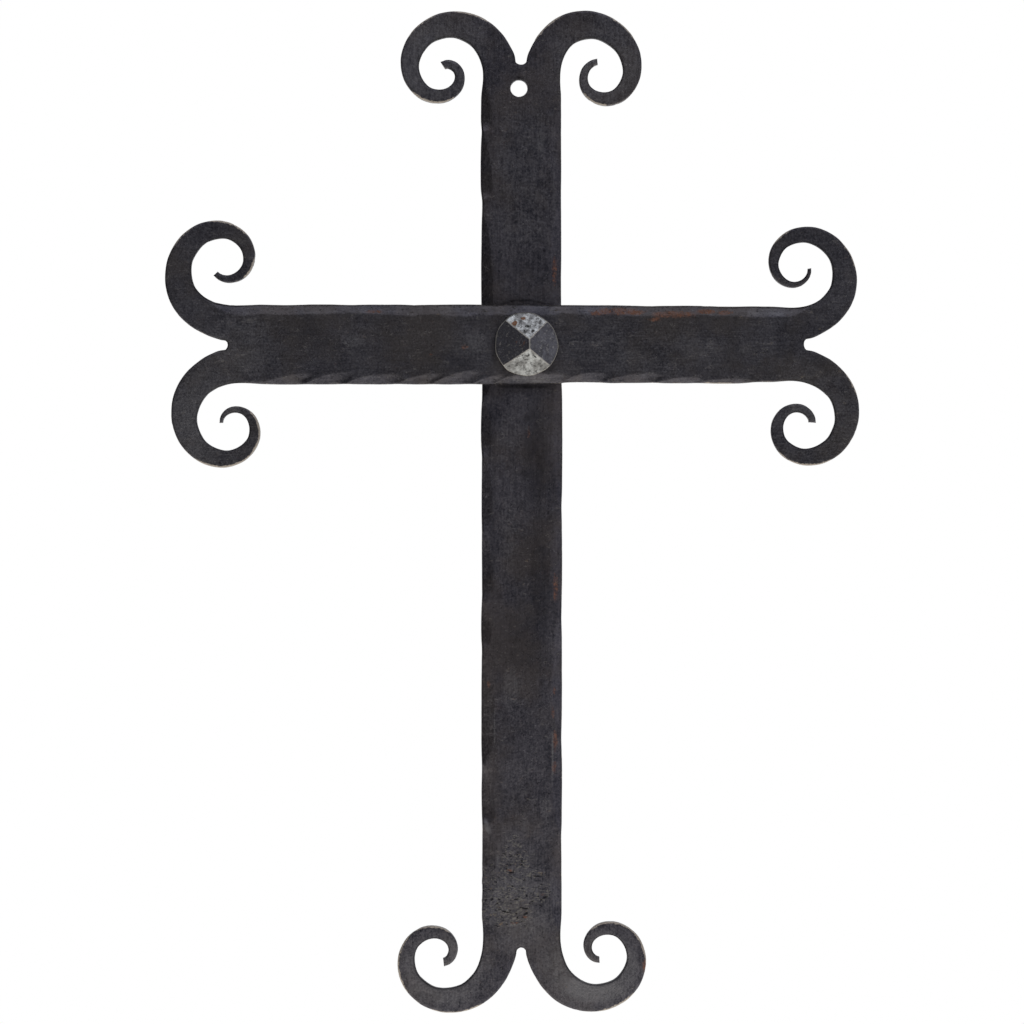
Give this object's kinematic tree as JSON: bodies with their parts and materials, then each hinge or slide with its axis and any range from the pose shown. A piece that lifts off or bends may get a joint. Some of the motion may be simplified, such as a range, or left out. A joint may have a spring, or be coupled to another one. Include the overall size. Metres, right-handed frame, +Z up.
{
  "type": "wrought iron cross",
  "caption": "Forged iron cross for a wall or grave: flat bars with split ends rolled into scrolls, riveted where they cross, pierced at the top to hang from a nail.",
  "frame": {"origin": "centre of the hanging hole, on the back face of the upright, where the cross meets the wall", "axes": "+X to the right seen from the front, +Z up along the upright, the front faces -Y and the wall is at y = 0"},
  "size_m": [0.2777, 0.0198, 0.4015],
  "materials": {
    "forge_scale": "black forge scale under wax, bare iron on the worn edges, rust specks and a pitted crust at the foot",
    "brushed_scale": "black forge scale under wax, hammered bevels wire-brushed to grey, thin brown rust on the top bevel",
    "burnished_iron": "hammered rivet head, facets rubbed bright with dark pits and a rust spot"
  },
  "bodies": {
    "root": {"upright": "forge_scale", "crossbar": "brushed_scale", "rivet": "burnished_iron"}
  },
  "joints": []
}
